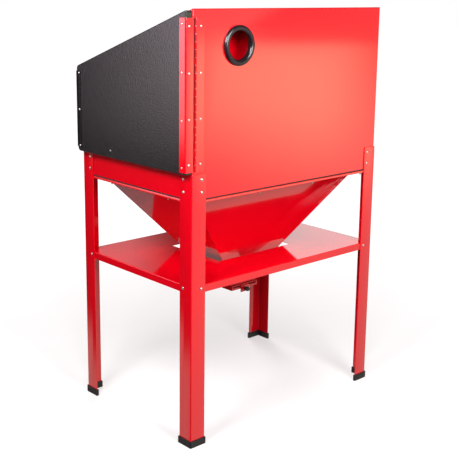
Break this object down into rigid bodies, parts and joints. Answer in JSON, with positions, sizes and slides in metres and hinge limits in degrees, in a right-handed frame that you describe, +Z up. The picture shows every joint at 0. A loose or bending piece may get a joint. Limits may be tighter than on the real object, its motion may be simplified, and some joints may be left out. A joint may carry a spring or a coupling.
{
  "type": "sandblast cabinet",
  "caption": "Floor-standing sandblast cabinet: sloped lid with window, arm ports, side door on a piano hinge, hopper through a shelf, slide gate, folded legs.",
  "frame": {"origin": "on the floor, under the middle of the outside box of the closed cabinet", "axes": "+Z up; -Y is the operator side with the arm ports, +Y the back panel, +X the loading door"},
  "size_m": [0.9744, 0.6594, 1.463],
  "materials": {
    "red_paint": "high-gloss red paint on folded sheet steel",
    "black_texture": "satin black paint with a fine wrinkle texture",
    "bright_steel": "zinc-plated bright steel",
    "grate_steel": "plain steel, dulled by abrasive",
    "rubber": "matt black rubber",
    "gloss_rubber": "glossy black rubber trim",
    "black_plastic": "moulded black plastic, fine grain",
    "aluminium": "cast and folded aluminium, satin",
    "glass": "clear laminated safety glass",
    "lens": "opal diffuser",
    "ceramic": "plain fired ceramic"
  },
  "bodies": {
    "cabinet": {"air_inlet": "bright_steel", "arm_ring_left": "black_plastic", "arm_ring_right": "black_plastic", "back_panel": "red_paint", "cord_gland": "black_plastic", "doorway_panel": "red_paint", "exhaust_baffle": "red_paint", "exhaust_grommet": "gloss_rubber", "fixed_side_panel": "red_paint", "foot_back_left": "rubber", "foot_back_right": "rubber", "foot_front_left": "rubber", "foot_front_right": "rubber", "front_panel": "red_paint", "gate_guide": "red_paint", "glove_clamp_left": "bright_steel", "glove_clamp_right": "bright_steel", "glove_left": "rubber", "glove_right": "rubber", "gun_body": "aluminium", "gun_cradle": "bright_steel", "gun_nozzle": "ceramic", "hinge_cabinet_leaf": "red_paint", "hinge_pin": "bright_steel", "hopper_rim": "red_paint", "hopper_throat": "red_paint", "hopper_wall_back": "red_paint", "hopper_wall_front": "red_paint", "hopper_wall_left": "red_paint", "hopper_wall_right": "red_paint", "latch_plate_lower": "bright_steel", "latch_plate_upper": "bright_steel", "leg_back_left": "red_paint", "leg_back_right": "red_paint", "leg_front_left": "red_paint", "leg_front_right": "red_paint", "lid_panel": "red_paint", "light_housing": "aluminium", "light_lens": "lens", "pickup_tube": "bright_steel", "shelf": "red_paint", "switch_box": "black_plastic", "window_frame": "red_paint", "window_glass": "glass", "window_seal": "rubber", "work_grate": "grate_steel"},
    "door": {"door_tray": "black_texture", "door_seal": "rubber", "hinge_door_leaf": "red_paint", "latch_angle": "black_texture"},
    "latch_bar_lower": {"latch_bar_lower": "bright_steel"},
    "latch_bar_upper": {"latch_bar_upper": "bright_steel"},
    "slide_gate": {"gate_plate": "red_paint", "gate_knob": "black_plastic"},
    "light_switch": {"switch_rocker": "black_plastic"},
    "trigger": {"gun_trigger": "bright_steel"}
  },
  "joints": [
    {"name": "door_hinge", "type": "hinge", "parent": "cabinet", "child": "door", "pos_m": [0.44555, 0.32245, 1.193], "axis": [0, 0, 1], "range_deg": [0, 150]},
    {"name": "latch_lower_pivot", "type": "hinge", "parent": "cabinet", "child": "latch_bar_lower", "pos_m": [0.42105, -0.29515, 1.03], "axis": [0, 1, 0], "range_deg": [0, 90]},
    {"name": "latch_upper_pivot", "type": "hinge", "parent": "cabinet", "child": "latch_bar_upper", "pos_m": [0.42105, -0.29515, 1.165], "axis": [0, 1, 0], "range_deg": [0, 90]},
    {"name": "gate_slide", "type": "slide", "parent": "cabinet", "child": "slide_gate", "axis": [0, 1, 0], "range_m": [0, 0.12]},
    {"name": "switch_rock", "type": "hinge", "parent": "cabinet", "child": "light_switch", "pos_m": [0.33105, -0.31815, 1.209], "axis": [1, 0, 0], "range_deg": [0, 10]},
    {"name": "trigger_pull", "type": "hinge", "parent": "cabinet", "child": "trigger", "pos_m": [-0.40395, 0.08865, 0.99], "axis": [1, 0, 0], "range_deg": [0, 10], "stiffness_Nm_per_rad": 0.8, "springref_deg": -8.59}
  ]
}
